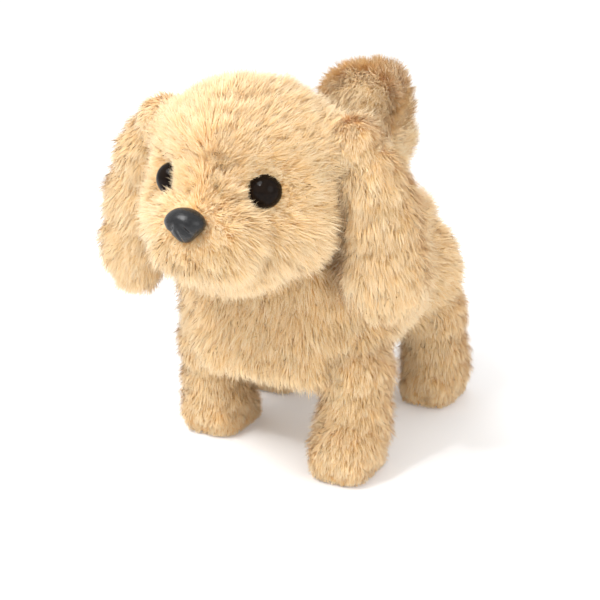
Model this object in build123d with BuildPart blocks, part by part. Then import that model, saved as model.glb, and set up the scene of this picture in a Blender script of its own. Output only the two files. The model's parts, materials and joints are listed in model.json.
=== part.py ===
"""Walking plush puppy: a battery pet with a hidden chassis, gear train, four swinging legs, a nodding head,
a wagging tail and a pile-fabric cover.

Millimetres. The puppy looks along -Y, its left side is +X and +Z is up. The origin is on the floor, under the
middle of the overall box.
"""
from build123d import *
from math import acos, atan2, cos, degrees, pi, radians, sin, sqrt, tan
import os

os.makedirs("parts", exist_ok=True)

# Overall places -----------------------------------------------------------------------------------
HIP_Z = 72.0            # height of both hip axles above the floor
FRONT_HIP_Y = -21.0
REAR_HIP_Y = 61.0
LEG_X = 39.0            # middle of a leg frame, from the centre plane
HEAD_Y = -48.0
HEAD_Z = 139.0

# Fits and walls -----------------------------------------------------------------------------------
RUNNING = 0.05          # radial clearance of a shaft that turns in its bore
SEATED = 0.02           # radial clearance of a pin that is held in its bore
GAP = 0.4               # side clearance between parts that pass each other
WALL = 2.0              # wall of the moulded casings
PIN_R = 1.5             # radius of every steel axle and pin

# Chassis casing -----------------------------------------------------------------------------------
CASE_HALF_X = 30.0
CASE_FRONT_Y = -42.0
CASE_REAR_Y = 72.0
CASE_LOW_Z = 48.0
CASE_SPLIT_Z = 76.0
CASE_HIGH_Z = 108.0
CASE_ROUND = 7.0

# Legs and stride ----------------------------------------------------------------------------------
STRIDE_HALF = 11.5      # degrees that a leg swings each way from its mid stroke
REST_SWING = 8.0        # degrees that each leg stands away from mid stroke at rest
CRANK_Z = 90.0          # height of the crank shaft, straight above the front hips
LEG_THICK = 3.5
LEG_WIDTH = 9.0
ROD_ARM = 10.0          # from a hip to the link rod's pin
TAIL_ARM = 14.0         # from the left rear hip to the peg that drives the tail
FOOT_LENGTH = 30.0
FOOT_WIDTH = 20.0
SOLE_THICK = 2.0
ROD_THICK = 2.0

# Gears --------------------------------------------------------------------------------------------
MODULE = 0.8
PRESSURE = radians(25)
WHEEL_TEETH = 36
PINION_TEETH = 12
BACKLASH = 0.16
ADDENDUM = 0.9
DEDENDUM = 1.2
FACE = 3.0              # width of a gear's teeth
GEAR_STEP = 3.5         # from one layer of gears to the next
LAYER_C = 2.0           # middle of the layer with the motor pinion
PLATE_THICK = 2.0

# Battery bay --------------------------------------------------------------------------------------
CELL_R = 7.25
CELL_LENGTH = 50.5
BAY_MID_Y = 18.0
BAY_LENGTH = 56.0
BAY_HALF_X = 15.5
BAY_ROOF_Z = 67.5
DOOR_THICK = 1.5

# Head ---------------------------------------------------------------------------------------------
NECK_Y = -36.0
NECK_Z = 112.0
SKULL_HALF_X = 34.0
SKULL_R = 29.0
SNOUT_Y = -78.0
SNOUT_Z = 127.0
SNOUT_HALF_X = 18.0
SNOUT_R = 16.0
EYE_R = 7.4
EYE_X, EYE_Y, EYE_Z = 22.4, -78.0, 143.5
NOSE_Y, NOSE_Z = -104.5, 133.0
NOSE_R = 8.4
EAR_ROOT_Z = 167.0

# Tail ---------------------------------------------------------------------------------------------
TAIL_Y = 84.0           # the upright axis that the tail wags about
TAIL_LEVER = 12.0       # from that axis to the push rod's peg
TAIL_LEVER_Z = 99.0

# Plush --------------------------------------------------------------------------------------------
HEAD_PLUSH_HALF_X = 48.0
HEAD_PLUSH_R = 44.0
MUZZLE_HALF_X = 28.0
MUZZLE_R = 22.5
MUZZLE_CENTRE = (0, SNOUT_Y - 5.0, SNOUT_Z - 2.0)
BODY_PLUSH_CENTRE = (0, 34.0, 84.0)
BODY_PLUSH_R = 46.0
BODY_PLUSH_HALF_Y = 67.0
CHEST_PLUSH_CENTRE = (0, -14.0, 80.0)
CHEST_PLUSH_R = 43.5
TAIL_CURL_CENTRE, TAIL_CURL_R = (0, 62.0, 153.0), 22.0
TAIL_BACK_CENTRE, TAIL_BACK_R = (0, 95.0, 132.0), 15.5
SLEEVE_R = 17.0
SLEEVE_HIGH_Z = 55.0

X_AXIS, Y_AXIS, Z_AXIS = (1, 0, 0), (0, 1, 0), (0, 0, 1)


# Helpers ------------------------------------------------------------------------------------------
def save(name, part):
    part.label = name
    export_step(part, f"parts/{name}.step")


def across(x, y, z, tilt=0.0):
    """A sketch plane that faces +X, its own x along the body and its own y upwards, tilted in degrees."""
    turn = radians(tilt)
    return Plane(origin=(x, y, z), x_dir=(0, cos(turn), sin(turn)), z_dir=X_AXIS)


def rod_along_x(x_low, x_high, y, z, radius, bore=0.0):
    with BuildPart() as rod:
        with BuildSketch(across(x_low, y, z)):
            Circle(radius)
            if bore:
                Circle(bore, mode=Mode.SUBTRACT)
        extrude(amount=x_high - x_low)
    return rod.part


def upright(x, y, z_low, z_high, radius, bore=0.0):
    with BuildPart() as post:
        with BuildSketch(Plane(origin=(x, y, z_low))):
            Circle(radius)
            if bore:
                Circle(bore, mode=Mode.SUBTRACT)
        extrude(amount=z_high - z_low)
    return post.part


def block(x_low, x_high, y_low, y_high, z_low, z_high, rounding=0.0):
    size = (x_high - x_low, y_high - y_low, z_high - z_low)
    with BuildPart() as body:
        with Locations(((x_low + x_high) / 2, (y_low + y_high) / 2, (z_low + z_high) / 2)):
            Box(*size)
        if rounding:
            fillet(body.edges(), radius=min(rounding, 0.45 * min(size)))
    return body.part


def pill(centre, along, half_length, radius):
    """A round bar with round ends, or a ball where it is no longer than it is wide."""
    across_it = Z_AXIS if along != Z_AXIS else X_AXIS
    with BuildPart() as body:
        with BuildSketch(Plane(origin=centre, x_dir=along, z_dir=across_it)):
            if half_length > radius:
                SlotOverall(2 * half_length, 2 * radius)
            else:
                Circle(radius)
            Rectangle(2.2 * half_length + 2.2 * radius, 1.1 * radius, align=(Align.CENTER, Align.MAX),
                      mode=Mode.SUBTRACT)
        revolve(axis=Axis(centre, along))
    return body.part


def cut(whole, *tools):
    """The part with each tool taken away."""
    for tool in tools:
        whole = whole - tool
    return whole


def join(*pieces):
    whole = pieces[0]
    for piece in pieces[1:]:
        whole = whole + piece
    return whole


# Gears --------------------------------------------------------------------------------------------
def involute_angle(radius, base):
    return sqrt(max((radius / base) ** 2 - 1, 0)) - acos(min(base / radius, 1))


def gear_outline(teeth, phase):
    """Points round an involute gear, with the middle of one tooth at the phase angle in radians."""
    pitch = MODULE * teeth / 2
    base = pitch * cos(PRESSURE)
    root = pitch - DEDENDUM * MODULE
    tip = pitch + ADDENDUM * MODULE
    half_tooth = pi / (2 * teeth) - BACKLASH / (2 * pitch)
    start = max(base, root)
    radii = [start + (tip - start) * step / 4 for step in range(5)]
    flank = [(r, half_tooth + involute_angle(pitch, base) - involute_angle(r, base)) for r in radii]
    flank.insert(0, (min(root, start - 0.01), flank[0][1]))
    points = []
    for tooth in range(teeth):
        middle = phase + 2 * pi * tooth / teeth
        points += [(r * cos(middle - a), r * sin(middle - a)) for r, a in flank]
        points += [(r * cos(middle + a), r * sin(middle + a)) for r, a in reversed(flank)]
    return points


def gear(x_middle, y, teeth, phase, bore):
    with BuildPart() as wheel:
        with BuildSketch(across(x_middle - FACE / 2, y, CRANK_Z)):
            with BuildLine():
                Polyline(*gear_outline(teeth, phase), close=True)
            make_face()
            if bore:
                Circle(bore, mode=Mode.SUBTRACT)
        extrude(amount=FACE)
    return wheel.part


CENTRE_STEP = MODULE * (WHEEL_TEETH + PINION_TEETH) / 2     # between neighbouring gear axes
LAYER_B = LAYER_C + GEAR_STEP
LAYER_A = LAYER_B + GEAR_STEP
CRANK_Y = FRONT_HIP_Y
SECOND_Y = CRANK_Y + CENTRE_STEP
FIRST_Y = SECOND_Y + CENTRE_STEP
MOTOR_Y = FIRST_Y + CENTRE_STEP
IN_MESH = pi + pi / PINION_TEETH                           # puts a gap of a pinion on a tooth of its wheel
SHAFT_R = 2.0
RIGHT_PLATE_X = LAYER_C - FACE / 2 - GAP - PLATE_THICK      # low side of the right plate
LEFT_PLATE_X = LAYER_A + FACE / 2 + GAP                     # low side of the left plate

save("crank_gear", gear(LAYER_A, CRANK_Y, WHEEL_TEETH, 0.0, SHAFT_R + SEATED))
for name, y, wheel_x in (("second_gear", SECOND_Y, LAYER_B), ("first_gear", FIRST_Y, LAYER_C)):
    pinion_x = wheel_x + GEAR_STEP
    wheel = gear(wheel_x, y, WHEEL_TEETH, 0.0, PIN_R + RUNNING)
    pinion = gear(pinion_x, y, PINION_TEETH, IN_MESH, PIN_R + RUNNING)
    collar = rod_along_x(wheel_x + FACE / 2, pinion_x - FACE / 2, y, CRANK_Z, 3.2, PIN_R + RUNNING)
    save(name, join(wheel, collar, pinion))
MOTOR_SHAFT_R = 1.0
save("motor_pinion", gear(LAYER_C, MOTOR_Y, PINION_TEETH, IN_MESH, MOTOR_SHAFT_R + SEATED))
gear_pins = [rod_along_x(RIGHT_PLATE_X, LEFT_PLATE_X + PLATE_THICK, y, CRANK_Z, PIN_R)
             for y in (SECOND_Y, FIRST_Y)]
save("gear_pins", Compound(children=gear_pins))

# Crank shaft, its two discs and the cam that rocks the head ---------------------------------------
DISC_THICK = 3.0
DISC_LOW_X = CASE_HALF_X + 0.6
DISC_HIGH_X = DISC_LOW_X + DISC_THICK
DISC_R = 6.5
LEG_INNER_X = LEG_X - LEG_THICK / 2
LEG_OUTER_X = LEG_X + LEG_THICK / 2
SLOT_ARM = CRANK_Z - HIP_Z
THROW = SLOT_ARM * sin(radians(STRIDE_HALF))
slot_shift = SLOT_ARM * tan(radians(REST_SWING))
crank_turn = acos(slot_shift / THROW)                       # where the left crank pin stands at rest
CAM_LOW_X, CAM_HIGH_X = -12.0, -8.0
CAM_R, CAM_OFFSET = 5.0, 1.2

save("crank_shaft", rod_along_x(-DISC_HIGH_X, DISC_HIGH_X, CRANK_Y, CRANK_Z, SHAFT_R))
crank_discs = []
for side in (-1, 1):
    disc_low, disc_high = sorted((side * DISC_LOW_X, side * DISC_HIGH_X))
    pin_low, pin_high = sorted((side * DISC_HIGH_X, side * (LEG_INNER_X - GAP)))
    pin_y = CRANK_Y + side * THROW * cos(crank_turn)
    pin_z = CRANK_Z + side * THROW * sin(crank_turn)
    disc = rod_along_x(disc_low, disc_high, CRANK_Y, CRANK_Z, DISC_R, SHAFT_R + SEATED)
    crank_discs.append(join(disc, rod_along_x(pin_low, pin_high, pin_y, pin_z, PIN_R)))
save("crank_discs", Compound(children=crank_discs))
with BuildPart() as head_cam:
    with BuildSketch(across(CAM_LOW_X, CRANK_Y, CRANK_Z)):
        with Locations((-CAM_OFFSET, 0)):
            Circle(CAM_R)
        Circle(SHAFT_R + SEATED, mode=Mode.SUBTRACT)
    extrude(amount=CAM_HIGH_X - CAM_LOW_X)
save("head_cam", head_cam.part)

# Gearbox plates, spacers and motor ----------------------------------------------------------------
PLATE_LOW_Y, PLATE_HIGH_Y = CRANK_Y - 16.5, MOTOR_Y + 9.0
PLATE_LOW_Z, PLATE_HIGH_Z = CRANK_Z - 16.0, CRANK_Z + 15.5
SPACER_SPOTS = [(PLATE_LOW_Y + 2.5, PLATE_LOW_Z + 2.5), (PLATE_LOW_Y + 2.5, PLATE_HIGH_Z - 2.5),
                (MOTOR_Y + 6.0, PLATE_LOW_Z + 2.5), (MOTOR_Y + 6.0, PLATE_HIGH_Z - 2.5)]
SPACER_R = 1.8
plate_axes = ((CRANK_Y, SHAFT_R + RUNNING), (SECOND_Y, PIN_R + SEATED), (FIRST_Y, PIN_R + SEATED))
for name, x_low, motor_hole in (("gearbox_left_plate", LEFT_PLATE_X, PIN_R),
                                ("gearbox_right_plate", RIGHT_PLATE_X, 3.2)):
    with BuildPart() as plate:
        with BuildSketch(across(x_low, 0, 0)):
            with Locations(((PLATE_LOW_Y + PLATE_HIGH_Y) / 2, (PLATE_LOW_Z + PLATE_HIGH_Z) / 2)):
                RectangleRounded(PLATE_HIGH_Y - PLATE_LOW_Y, PLATE_HIGH_Z - PLATE_LOW_Z, 2.0)
            for y, radius in (*plate_axes, (MOTOR_Y, motor_hole)):
                with Locations((y, CRANK_Z)):
                    Circle(radius, mode=Mode.SUBTRACT)
        extrude(amount=PLATE_THICK)
    save(name, plate.part)
spacers = [rod_along_x(RIGHT_PLATE_X + PLATE_THICK, LEFT_PLATE_X, y, z, SPACER_R) for y, z in SPACER_SPOTS]
save("gearbox_spacers", Compound(children=spacers))

MOTOR_R, MOTOR_HALF_FLAT, MOTOR_LENGTH = 10.0, 7.6, 24.0
with BuildPart() as motor_can:
    with BuildSketch(across(RIGHT_PLATE_X - MOTOR_LENGTH, MOTOR_Y, CRANK_Z)):
        Circle(MOTOR_R)
        Rectangle(2 * MOTOR_R, 2 * MOTOR_HALF_FLAT, mode=Mode.INTERSECT)
        Circle(MOTOR_SHAFT_R + RUNNING, mode=Mode.SUBTRACT)
    extrude(amount=MOTOR_LENGTH)
    fillet(motor_can.edges().filter_by(GeomType.LINE, reverse=True).sort_by(Axis.X)[:2], radius=0.6)
save("motor_can", motor_can.part)
save("motor_shaft",
     rod_along_x(RIGHT_PLATE_X - MOTOR_LENGTH + 2, LAYER_C + FACE / 2, MOTOR_Y, CRANK_Z, MOTOR_SHAFT_R))

# Chassis casing -----------------------------------------------------------------------------------
case_outer = block(-CASE_HALF_X, CASE_HALF_X, CASE_FRONT_Y, CASE_REAR_Y, CASE_LOW_Z, CASE_HIGH_Z,
                   CASE_ROUND)
case_inner = block(-CASE_HALF_X + WALL, CASE_HALF_X - WALL, CASE_FRONT_Y + WALL, CASE_REAR_Y - WALL,
                   CASE_LOW_Z + WALL, CASE_HIGH_Z - WALL, CASE_ROUND - WALL)
case_shell = cut(case_outer, case_inner)
everything_below = block(-60, 60, -150, 150, 0, CASE_SPLIT_Z)
everything_above = block(-60, 60, -150, 150, CASE_SPLIT_Z, 250)
front_axle_hole = rod_along_x(-60, 60, FRONT_HIP_Y, HIP_Z, PIN_R + SEATED)
rear_axle_hole = rod_along_x(-60, 60, REAR_HIP_Y, HIP_Z, PIN_R + SEATED)

BAY_LOW_Y, BAY_HIGH_Y = BAY_MID_Y - BAY_LENGTH / 2, BAY_MID_Y + BAY_LENGTH / 2
bay_walls = block(-BAY_HALF_X - 1.5, BAY_HALF_X + 1.5, BAY_LOW_Y - 1.5, BAY_HIGH_Y + 1.5, CASE_LOW_Z,
                  BAY_ROOF_Z + 1.2)
bay_hollow = block(-BAY_HALF_X, BAY_HALF_X, BAY_LOW_Y, BAY_HIGH_Y, CASE_LOW_Z - 1, BAY_ROOF_Z)
SCREW_R, SCREW_HEAD_R, BOSS_R = 1.2, 2.2, 3.2
DOOR_SCREW_Y = BAY_HIGH_Y + 5.0
CASE_SCREW_SPOTS = [(x, y) for x in (-22.0, 22.0) for y in (CASE_FRONT_Y + 9.0, CASE_REAR_Y - 5.5)]
case_bosses = [upright(x, y, CASE_LOW_Z + 1.0, CASE_SPLIT_Z, BOSS_R) for x, y in CASE_SCREW_SPOTS]
case_screw_holes = [upright(x, y, CASE_LOW_Z - 1, CASE_SPLIT_Z + 12, SCREW_R + SEATED)
                    for x, y in CASE_SCREW_SPOTS]
cover_bosses = [upright(x, y, CASE_SPLIT_Z, CASE_HIGH_Z - 1.0, BOSS_R) for x, y in CASE_SCREW_SPOTS]
head_recesses = [upright(x, y, CASE_LOW_Z - 1, CASE_LOW_Z + 2.5, SCREW_HEAD_R + 0.3)
                 for x, y in CASE_SCREW_SPOTS]
door_boss = upright(0, DOOR_SCREW_Y, CASE_LOW_Z + 0.5, CASE_LOW_Z + 10, BOSS_R)
door_screw_hole = upright(0, DOOR_SCREW_Y, CASE_LOW_Z - 1, CASE_LOW_Z + 8.5, SCREW_R + 0.1)
SWITCH_Y = BAY_LOW_Y - 12.0
switch_window = block(-5.5, 5.5, SWITCH_Y - 2.2, SWITCH_Y + 2.2, CASE_LOW_Z - 1, CASE_LOW_Z + WALL + 1)
chassis_base = join(cut(case_shell, everything_above), bay_walls, *case_bosses, door_boss)
chassis_base = cut(chassis_base, bay_hollow, *case_screw_holes, *head_recesses, door_screw_hole,
                   switch_window,
                   front_axle_hole, rear_axle_hole)
save("chassis_base", chassis_base)
screws = [join(upright(x, y, CASE_LOW_Z + 0.5, CASE_LOW_Z + 2.5, SCREW_HEAD_R),
               upright(x, y, CASE_LOW_Z + 2.5, CASE_SPLIT_Z + 10, SCREW_R)) for x, y in CASE_SCREW_SPOTS]
save("chassis_screws", Compound(children=screws))

ROCKER_LOW_X, ROCKER_HIGH_X = CAM_LOW_X, CAM_HIGH_X
LUG_LOW_X, LUG_HIGH_X = 6.4, 9.4
lug_sides = ((LUG_LOW_X, LUG_HIGH_X), (-LUG_HIGH_X, -LUG_LOW_X))
lugs = [block(low, high, NECK_Y - 4.5, NECK_Y + 4.5, CASE_HIGH_Z - 1.0, NECK_Z) for low, high in lug_sides]
lug_rounds = [rod_along_x(low, high, NECK_Y, NECK_Z, 4.5) for low, high in lug_sides]
neck_bore = rod_along_x(-20, 20, NECK_Y, NECK_Z, PIN_R + SEATED)
rocker_slot = block(ROCKER_LOW_X - 1.5, ROCKER_HIGH_X + 1.5, CRANK_Y - 5.5, CRANK_Y + 5.5, CASE_HIGH_Z - 4,
                    CASE_HIGH_Z + 1)
crank_holes = rod_along_x(-60, 60, CRANK_Y, CRANK_Z, SHAFT_R + RUNNING)
SPEAKER_Y, SPEAKER_R = 56.0, 9.0
grille = [upright(5.0 * cos(k * pi / 3), SPEAKER_Y + 5.0 * sin(k * pi / 3), CASE_HIGH_Z - 5,
                  CASE_HIGH_Z + 1, 1.3) for k in range(6)]
grille.append(upright(0, SPEAKER_Y, CASE_HIGH_Z - 5, CASE_HIGH_Z + 1, 1.3))
chassis_cover = join(cut(case_shell, everything_below), *lugs, *lug_rounds, *cover_bosses)
chassis_cover = cut(chassis_cover, *case_screw_holes, neck_bore, rocker_slot, crank_holes, *grille)
save("chassis_cover", chassis_cover)
save("neck_pin", rod_along_x(-11.0, 11.0, NECK_Y, NECK_Z, PIN_R))

# Battery bay contents -----------------------------------------------------------------------------
CELL_X = CELL_R + 0.3
CELL_Z = BAY_ROOF_Z - CELL_R - 0.3
CELL_LOW_Y = BAY_MID_Y - CELL_LENGTH / 2
cells = []
for side in (-1, 1):
    with BuildPart() as cell:
        with BuildSketch(Plane(origin=(side * CELL_X, CELL_LOW_Y, CELL_Z), x_dir=X_AXIS, z_dir=Y_AXIS)):
            Circle(CELL_R)
        extrude(amount=CELL_LENGTH - 1.2)
        with BuildSketch(Plane(origin=(side * CELL_X, CELL_LOW_Y + CELL_LENGTH - 1.2, CELL_Z), x_dir=X_AXIS,
                               z_dir=Y_AXIS)):
            Circle(2.7)
        extrude(amount=1.2)
    cells.append(cell.part)
save("battery_cells", Compound(children=cells))
CONTACT_THICK = 0.4
contacts = [block(-13.5, 13.5, BAY_LOW_Y, BAY_LOW_Y + CONTACT_THICK, CELL_Z - 5, CELL_Z + 5)]
contacts += [block(side * CELL_X - 5, side * CELL_X + 5, BAY_HIGH_Y - CONTACT_THICK, BAY_HIGH_Y, CELL_Z - 5,
                   CELL_Z + 5)
             for side in (-1, 1)]
spring_room = CELL_LOW_Y - (BAY_LOW_Y + CONTACT_THICK)
springs = []
for side in (-1, 1):
    with BuildPart() as spring:
        with BuildLine():
            coil = Helix(pitch=0.8, height=spring_room - 0.7, radius=3.0,
                         center=(side * CELL_X, BAY_LOW_Y + CONTACT_THICK + 0.35, CELL_Z), direction=Y_AXIS)
        with BuildSketch(Plane(origin=coil @ 0, z_dir=coil % 0)):
            Circle(0.25)
        sweep(is_frenet=True)
    springs.append(spring.part)
save("battery_contacts", Compound(children=contacts + springs))

DOOR_HIGH_Z = CASE_LOW_Z - 0.1
DOOR_LOW_Z = DOOR_HIGH_Z - DOOR_THICK
door_plate = block(-BAY_HALF_X - 3, BAY_HALF_X + 3, BAY_LOW_Y - 3, DOOR_SCREW_Y + 4, DOOR_LOW_Z,
                   DOOR_HIGH_Z)
door_rib = block(-BAY_HALF_X + 0.5, BAY_HALF_X - 0.5, BAY_LOW_Y + 0.5, BAY_LOW_Y + 2.0, DOOR_HIGH_Z,
                 DOOR_HIGH_Z + 2.5)
far_rib = block(-BAY_HALF_X + 0.5, BAY_HALF_X - 0.5, BAY_HIGH_Y - 2.0, BAY_HIGH_Y - 0.5, DOOR_HIGH_Z,
                DOOR_HIGH_Z + 2.5)
door_hole = upright(0, DOOR_SCREW_Y, DOOR_LOW_Z - 1, DOOR_HIGH_Z + 1, SCREW_R + SEATED)
save("battery_door", cut(join(door_plate, door_rib, far_rib), door_hole))
save("battery_door_screw", join(upright(0, DOOR_SCREW_Y, DOOR_LOW_Z - 1.3, DOOR_LOW_Z, SCREW_HEAD_R),
                                upright(0, DOOR_SCREW_Y, DOOR_LOW_Z, CASE_LOW_Z + 7, SCREW_R)))

# Slide switch -------------------------------------------------------------------------------------
SWITCH_TRAVEL = 4.0
switch_case = block(-8.5, 8.5, SWITCH_Y - 4, SWITCH_Y + 4, CASE_LOW_Z + WALL, CASE_LOW_Z + WALL + 6)
switch_hollow = block(-6.5, 6.5, SWITCH_Y - 2.4, SWITCH_Y + 2.4, CASE_LOW_Z + WALL - 1,
                      CASE_LOW_Z + WALL + 4)
save("switch_body", cut(switch_case, switch_hollow))
knob_low_x = -SWITCH_TRAVEL / 2 - 1.6
knob_stem = block(knob_low_x, knob_low_x + 3.2, SWITCH_Y - 1.6, SWITCH_Y + 1.6, CASE_LOW_Z - 2.5,
                  CASE_LOW_Z + WALL + 3)
knob_foot = block(knob_low_x - 1.0, knob_low_x + 4.2, SWITCH_Y - 2.0, SWITCH_Y + 2.0,
                  CASE_LOW_Z + WALL + 0.4, CASE_LOW_Z + WALL + 3)
save("switch_knob", join(knob_stem, knob_foot))

# Electronics --------------------------------------------------------------------------------------
BOARD_Y = CASE_REAR_Y - WALL - 3.0
board = block(-15, 15, BOARD_Y - 1.6, BOARD_Y, CASE_SPLIT_Z + 1, CASE_SPLIT_Z + 15)
chip_spots = [(-9, CASE_SPLIT_Z + 8, 3.5), (2, CASE_SPLIT_Z + 6, 2.5), (9, CASE_SPLIT_Z + 10, 2.0)]
chips = [block(x - w, x + w, BOARD_Y - 3.0, BOARD_Y - 1.6, z - w, z + w) for x, z, w in chip_spots]
save("circuit_board", Compound(children=[board, *chips]))
SPEAKER_Z = CASE_HIGH_Z - WALL
with BuildPart() as speaker_frame:
    with BuildSketch(Plane.XZ.offset(-SPEAKER_Y)):
        with BuildLine():
            Polyline((SPEAKER_R, SPEAKER_Z), (SPEAKER_R, SPEAKER_Z - 1.6), (5.4, SPEAKER_Z - 4.0),
                     (5.4, SPEAKER_Z - 7.0), (4.6, SPEAKER_Z - 7.0), (4.6, SPEAKER_Z - 3.4),
                     (SPEAKER_R - 1.0, SPEAKER_Z - 1.0), (SPEAKER_R - 1.0, SPEAKER_Z), close=True)
        make_face()
    revolve(axis=Axis((0, SPEAKER_Y, 0), Z_AXIS))
magnet = upright(0, SPEAKER_Y, SPEAKER_Z - 7.0, SPEAKER_Z - 3.9, 4.5)
save("speaker_frame", Compound(children=[speaker_frame.part, magnet]))
with BuildPart() as speaker_cone:
    with BuildSketch(Plane.XZ.offset(-SPEAKER_Y)):
        with BuildLine():
            Polyline((0, SPEAKER_Z - 1.8), (2.0, SPEAKER_Z - 2.3), (3.6, SPEAKER_Z - 2.6),
                     (7.6, SPEAKER_Z - 0.7),
                     (7.9, SPEAKER_Z - 0.3), (7.3, SPEAKER_Z - 0.3), (3.5, SPEAKER_Z - 2.1),
                     (0, SPEAKER_Z - 1.2), close=True)
        make_face()
    revolve(axis=Axis((0, SPEAKER_Y, 0), Z_AXIS))
save("speaker_cone", speaker_cone.part)

# Internal wires, held along the right side wall ---------------------------------------------------
WIRE_R = 0.6
WIRE_X = -CASE_HALF_X + WALL + 3.4
wire_ends = ((MOTOR_Y + 12.0, CRANK_Z - 2.0), (MOTOR_Y + 12.0, CRANK_Z - 6.0))
wires = []
for y_start, z_start in wire_ends:
    with BuildPart() as wire:
        with BuildLine() as route:
            FilletPolyline((WIRE_X, y_start - 0.8, z_start - 3.0),
                           (WIRE_X + 2.0, y_start + 8.0, z_start - 7.0),
                           (WIRE_X + 7.0, BOARD_Y - 2.2, z_start - 5.0), radius=3.0)
        with BuildSketch(Plane(origin=route.line @ 0, z_dir=route.line % 0)):
            Circle(WIRE_R)
        sweep()
    wires.append(wire.part)
save("internal_wires", Compound(children=wires))

# Hip axles and their clips ------------------------------------------------------------------------
ROD_LOW_X = LEG_OUTER_X + GAP
ROD_HIGH_X = ROD_LOW_X + ROD_THICK
CLIP_THICK = 0.8
axle_reach = LEG_OUTER_X + GAP + CLIP_THICK + 0.8
axles = [rod_along_x(-axle_reach, axle_reach, y, HIP_Z, PIN_R) for y in (FRONT_HIP_Y, REAR_HIP_Y)]
save("hip_axles", Compound(children=axles))
clip_low, clip_high = LEG_OUTER_X + GAP, LEG_OUTER_X + GAP + CLIP_THICK
clips = [rod_along_x(min(side * clip_low, side * clip_high), max(side * clip_low, side * clip_high), y,
                     HIP_Z, 3.2, PIN_R + SEATED)
         for side in (-1, 1) for y in (FRONT_HIP_Y, REAR_HIP_Y)]
save("hip_axle_clips", Compound(children=clips))


# Legs ---------------------------------------------------------------------------------------------
def leg_names():
    """Name, side, hip, swing at rest (positive puts the foot back) and whether it is a front leg."""
    return (("left_front", 1, FRONT_HIP_Y, -REST_SWING, True),
            ("right_front", -1, FRONT_HIP_Y, REST_SWING, True),
            ("left_rear", 1, REAR_HIP_Y, REST_SWING, False),
            ("right_rear", -1, REAR_HIP_Y, -REST_SWING, False))


def leg_frame(side, hip_y, swing, front):
    plane = across(side * LEG_X, hip_y, HIP_Z, swing)
    arm_top = SLOT_ARM + THROW + PIN_R + 3.0 if front else 4.5
    if side == 1 and not front:
        arm_top = TAIL_ARM + 3.5
    shank = HIP_Z / cos(radians(swing)) - SOLE_THICK - 2.0
    foot_y = hip_y + HIP_Z * tan(radians(swing))
    outer = side * (ROD_HIGH_X + 0.5)
    with BuildPart() as leg:
        with BuildSketch(plane):
            with Locations((0, (arm_top - shank) / 2)):
                RectangleRounded(LEG_WIDTH, arm_top + shank, LEG_WIDTH / 2 - 0.2)
        extrude(amount=LEG_THICK / 2, both=True)
        with Locations((side * LEG_X, foot_y, SOLE_THICK + 2.0)):
            Box(FOOT_WIDTH, FOOT_LENGTH, 4.0)
        with BuildSketch(plane):
            Circle(PIN_R + RUNNING)
            if front:
                with Locations((0, SLOT_ARM)):
                    SlotOverall(2 * (THROW + PIN_R) + 0.6, 2 * PIN_R + 0.3, rotation=90)
        extrude(amount=LEG_THICK, both=True, mode=Mode.SUBTRACT)
    turn = radians(swing)
    arm = ROD_ARM if front else -ROD_ARM
    pin_y, pin_z = hip_y - arm * sin(turn), HIP_Z + arm * cos(turn)
    pieces = [leg.part, rod_along_x(*sorted((side * LEG_OUTER_X, outer)), pin_y, pin_z, PIN_R)]
    if side == 1 and not front:
        peg_y, peg_z = hip_y - TAIL_ARM * sin(turn), HIP_Z + TAIL_ARM * cos(turn)
        pieces.append(rod_along_x(LEG_INNER_X - 3.5, LEG_INNER_X, peg_y, peg_z, PIN_R))
    return join(*pieces)


def sleeve(side, hip_y, swing):
    """The plush leg: a rounded column on a rounder paw, hollow where the leg frame stands."""
    foot_y = hip_y + HIP_Z * tan(radians(swing))
    top_y = hip_y + (HIP_Z - SLEEVE_HIGH_Z) * tan(radians(swing))
    x = side * (LEG_X + 2.0)
    with BuildPart() as plush:
        with BuildSketch(Plane(origin=(x, foot_y - 2.0, SOLE_THICK + 0.1))):
            Ellipse(SLEEVE_R, SLEEVE_R + 3.0)
        with BuildSketch(Plane(origin=(x, foot_y - 1.0, 22.0))):
            Ellipse(SLEEVE_R, SLEEVE_R + 1.5)
        with BuildSketch(Plane(origin=(x, top_y, SLEEVE_HIGH_Z))):
            Ellipse(SLEEVE_R - 1.0, SLEEVE_R)
        loft()
    plane = across(side * LEG_X, hip_y, HIP_Z, swing)
    with BuildPart() as channel:
        with BuildSketch(plane):
            with Locations((0, -HIP_Z / 2)):
                Rectangle(LEG_WIDTH + 1.0, HIP_Z + 4.0)
        extrude(amount=LEG_THICK / 2 + 0.5, both=True)
        with Locations((side * LEG_X, foot_y, 3.2)):
            Box(FOOT_WIDTH + 1.0, FOOT_LENGTH + 1.0, 6.6)
    beside_case = block(-CASE_HALF_X - 1.2, CASE_HALF_X + 1.2, foot_y - 60, foot_y + 60, CASE_LOW_Z - 8,
                        100)
    return cut(plush.part, channel.part, beside_case)


for name, side, hip_y, swing, front in leg_names():
    foot_y = hip_y + HIP_Z * tan(radians(swing))
    save(f"{name}_leg_frame", leg_frame(side, hip_y, swing, front))
    save(f"{name}_leg_plush", sleeve(side, hip_y, swing))
    with BuildPart() as sole:
        with BuildSketch(Plane(origin=(side * LEG_X, foot_y, 0))):
            RectangleRounded(FOOT_WIDTH, FOOT_LENGTH, 7.0)
        extrude(amount=SOLE_THICK)
        fillet(sole.faces().sort_by(Axis.Z)[0].edges(), radius=0.6)
    save(f"{name}_sole", sole.part)

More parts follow.
